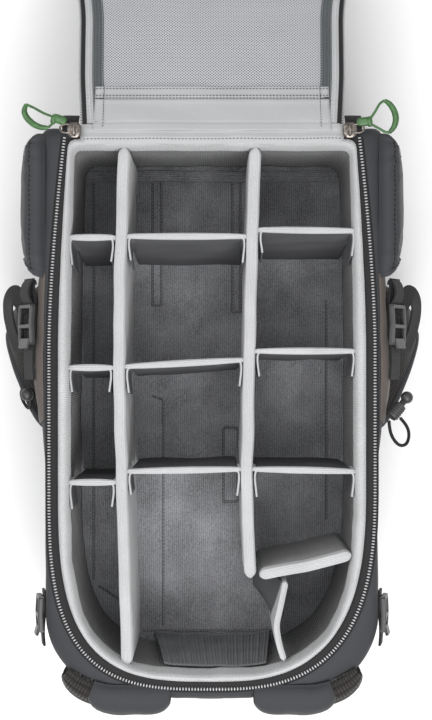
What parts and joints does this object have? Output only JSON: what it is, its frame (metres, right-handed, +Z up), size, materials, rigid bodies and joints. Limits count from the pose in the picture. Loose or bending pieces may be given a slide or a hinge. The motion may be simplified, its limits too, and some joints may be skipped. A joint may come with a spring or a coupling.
{
  "type": "camera backpack",
  "caption": "Rear-opening padded camera backpack lying on its front, back panel swung open over its hip end, with removable dividers",
  "frame": {"origin": "the middle of the flat front face that the pack rests on", "axes": "+Z up out of the camera compartment, +Y towards the hip end where the back panel hinges, +X to the right seen from above with the hinge away from you"},
  "size_m": [0.406, 0.9767, 0.2442],
  "materials": {
    "shell_fabric": "woven nylon, matt",
    "band_fabric": "smooth coated nylon",
    "side_fabric": "coarse woven taupe nylon",
    "loop_lining": "brushed loop lining",
    "rim_fabric": "light grey knit over foam",
    "divider_fabric": "smooth grey fabric with light grey edges",
    "panel_fabric": "padded panel",
    "stretch_binding": "ribbed stretch binding",
    "pocket_mesh": "fine white and grey mesh",
    "air_mesh": "air mesh over foam",
    "zip_tape": "woven zip tape",
    "zip_coil": "nylon coil",
    "slider_metal": "gunmetal",
    "pull_green": "moulded elastomer",
    "webbing": "woven webbing",
    "buckle_plastic": "moulded acetal",
    "elastic_cord": "braided elastic cord"
  },
  "bodies": {
    "root": {"outer_shell": "shell_fabric", "edge_band": "band_fabric", "front_pocket": "shell_fabric", "floor_pad": "loop_lining", "foam_liner": "loop_lining", "rim_binding": "rim_fabric", "hinge_strip": "rim_fabric", "zipper_tape": "zip_tape", "zipper_coil": "zip_coil", "end_pocket": "loop_lining", "zip_garages": "zip_tape", "grab_handle": "webbing", "side_pocket_left": "side_fabric", "side_pocket_right": "side_fabric", "side_straps": "webbing", "load_straps": "webbing", "cord_lock_left": "buckle_plastic", "cord_lock_right": "buckle_plastic", "elastic_cord_left": "elastic_cord", "elastic_cord_right": "elastic_cord"},
    "flap": {"flap_panel": "panel_fabric", "flap_piping": "rim_fabric", "flap_zipper_tape": "zip_tape", "flap_zipper_coil": "zip_coil", "flap_binding": "stretch_binding", "flap_mesh_pocket": "pocket_mesh", "flap_pocket_hem": "rim_fabric", "back_pads": "air_mesh"},
    "wing_left": {"hip_wing_left": "shell_fabric", "hip_strap_left": "webbing", "hip_buckle_socket": "buckle_plastic"},
    "wing_right": {"hip_wing_right": "shell_fabric", "hip_strap_right": "webbing", "hip_buckle_prongs": "buckle_plastic"},
    "slider_left": {"slider_left": "slider_metal"},
    "slider_right": {"slider_right": "slider_metal"},
    "pull_left": {"pull_left": "pull_green"},
    "pull_right": {"pull_right": "pull_green"},
    "shoulder_strap_left": {"shoulder_strap_left": "air_mesh"},
    "shoulder_strap_right": {"shoulder_strap_right": "air_mesh"},
    "side_buckle_left": {"side_buckle_left": "buckle_plastic"},
    "side_buckle_right": {"side_buckle_right": "buckle_plastic"},
    "load_buckle_left": {"load_buckle_left": "buckle_plastic"},
    "load_buckle_right": {"load_buckle_right": "buckle_plastic"},
    "cord_button_left": {"cord_button_left": "buckle_plastic"},
    "cord_button_right": {"cord_button_right": "buckle_plastic"},
    "divider_left_1": {"divider_left_1": "divider_fabric"},
    "divider_left_2": {"divider_left_2": "divider_fabric"},
    "divider_left_3": {"divider_left_3": "divider_fabric"},
    "divider_middle_1": {"divider_middle_1": "divider_fabric"},
    "divider_middle_2": {"divider_middle_2": "divider_fabric"},
    "divider_middle_3": {"divider_middle_3": "divider_fabric"},
    "divider_right_1": {"divider_right_1": "divider_fabric"},
    "divider_right_2": {"divider_right_2": "divider_fabric"},
    "divider_right_3": {"divider_right_3": "divider_fabric"},
    "divider_right_4": {"divider_right_4": "divider_fabric"},
    "divider_bent": {"divider_bent": "divider_fabric"},
    "long_divider_left": {"long_divider_left": "divider_fabric"},
    "long_divider_right": {"long_divider_right": "divider_fabric"}
  },
  "joints": [
    {"name": "flap_hinge", "type": "hinge", "parent": "root", "child": "flap", "pos_m": [0, 0.256, 0.236], "axis": [-1, 0, 0], "range_deg": [-207, 0]},
    {"name": "slider_left_slide", "type": "slide", "parent": "root", "child": "slider_left", "axis": [-0.1393, -0.9902, 0], "range_m": [0, 0.112]},
    {"name": "slider_right_slide", "type": "slide", "parent": "root", "child": "slider_right", "axis": [0.1393, -0.9902, 0], "range_m": [0, 0.112]},
    {"name": "pull_left_hinge", "type": "hinge", "parent": "slider_left", "child": "pull_left", "pos_m": [-0.132, 0.2565, 0.2406], "axis": [0, 1, 0], "range_deg": [0, 90]},
    {"name": "pull_right_hinge", "type": "hinge", "parent": "slider_right", "child": "pull_right", "pos_m": [0.132, 0.2565, 0.2406], "axis": [0, -1, 0], "range_deg": [0, 90]},
    {"name": "wing_left_hinge", "type": "hinge", "parent": "root", "child": "wing_left", "pos_m": [-0.1576, 0.19, 0.232], "axis": [0, 1, 0], "range_deg": [0, 100]},
    {"name": "wing_right_hinge", "type": "hinge", "parent": "root", "child": "wing_right", "pos_m": [0.1576, 0.19, 0.232], "axis": [0, -1, 0], "range_deg": [0, 100]},
    {"name": "shoulder_left_hinge", "type": "hinge", "parent": "root", "child": "shoulder_strap_left", "pos_m": [-0.084, -0.254, 0.236], "axis": [-1, 0, 0], "range_deg": [0, 120]},
    {"name": "shoulder_right_hinge", "type": "hinge", "parent": "root", "child": "shoulder_strap_right", "pos_m": [0.084, -0.254, 0.236], "axis": [-1, 0, 0], "range_deg": [0, 120]},
    {"name": "side_buckle_left_tilt", "type": "hinge", "parent": "root", "child": "side_buckle_left", "pos_m": [-0.16679, 0.064, 0.21483], "axis": [0.4695, 0, 0.8829], "range_deg": [0, 40]},
    {"name": "side_buckle_right_tilt", "type": "hinge", "parent": "root", "child": "side_buckle_right", "pos_m": [0.16679, 0.064, 0.21483], "axis": [0.4695, 0, -0.8829], "range_deg": [0, 40]},
    {"name": "load_buckle_left_tilt", "type": "hinge", "parent": "root", "child": "load_buckle_left", "pos_m": [-0.16315, -0.197, 0.21148], "axis": [0.2079, 0, 0.9781], "range_deg": [0, 40]},
    {"name": "load_buckle_right_tilt", "type": "hinge", "parent": "root", "child": "load_buckle_right", "pos_m": [0.16315, -0.197, 0.21148], "axis": [0.2079, 0, -0.9781], "range_deg": [0, 40]},
    {"name": "cord_button_left_press", "type": "slide", "parent": "root", "child": "cord_button_left", "axis": [0, 0, -1], "range_m": [0, 0.003], "stiffness_N_per_m": 600},
    {"name": "cord_button_right_press", "type": "slide", "parent": "root", "child": "cord_button_right", "axis": [-0.6222, -0.7226, 0.3011], "range_m": [0, 0.003], "stiffness_N_per_m": 600},
    {"name": "divider_left_1_lift", "type": "slide", "parent": "root", "child": "divider_left_1", "axis": [0, 0, 1], "range_m": [0, 0.155]},
    {"name": "divider_left_2_lift", "type": "slide", "parent": "root", "child": "divider_left_2", "axis": [0, 0, 1], "range_m": [0, 0.155]},
    {"name": "divider_left_3_lift", "type": "slide", "parent": "root", "child": "divider_left_3", "axis": [0, 0, 1], "range_m": [0, 0.155]},
    {"name": "divider_middle_1_lift", "type": "slide", "parent": "root", "child": "divider_middle_1", "axis": [0, 0, 1], "range_m": [0, 0.155]},
    {"name": "divider_middle_2_lift", "type": "slide", "parent": "root", "child": "divider_middle_2", "axis": [0, 0, 1], "range_m": [0, 0.155]},
    {"name": "divider_middle_3_lift", "type": "slide", "parent": "root", "child": "divider_middle_3", "axis": [0, 0, 1], "range_m": [0, 0.155]},
    {"name": "divider_right_1_lift", "type": "slide", "parent": "root", "child": "divider_right_1", "axis": [0, 0, 1], "range_m": [0, 0.155]},
    {"name": "divider_right_2_lift", "type": "slide", "parent": "root", "child": "divider_right_2", "axis": [0, 0, 1], "range_m": [0, 0.155]},
    {"name": "divider_right_3_lift", "type": "slide", "parent": "root", "child": "divider_right_3", "axis": [0, 0, 1], "range_m": [0, 0.155]},
    {"name": "divider_right_4_lift", "type": "slide", "parent": "root", "child": "divider_right_4", "axis": [0, 0, 1], "range_m": [0, 0.155]},
    {"name": "divider_bent_lift", "type": "slide", "parent": "root", "child": "divider_bent", "axis": [0, 0, 1], "range_m": [0, 0.155]},
    {"name": "long_divider_left_lift", "type": "slide", "parent": "root", "child": "long_divider_left", "axis": [0, 0, 1], "range_m": [0, 0.155]},
    {"name": "long_divider_right_lift", "type": "slide", "parent": "root", "child": "long_divider_right", "axis": [0, 0, 1], "range_m": [0, 0.155]}
  ]
}
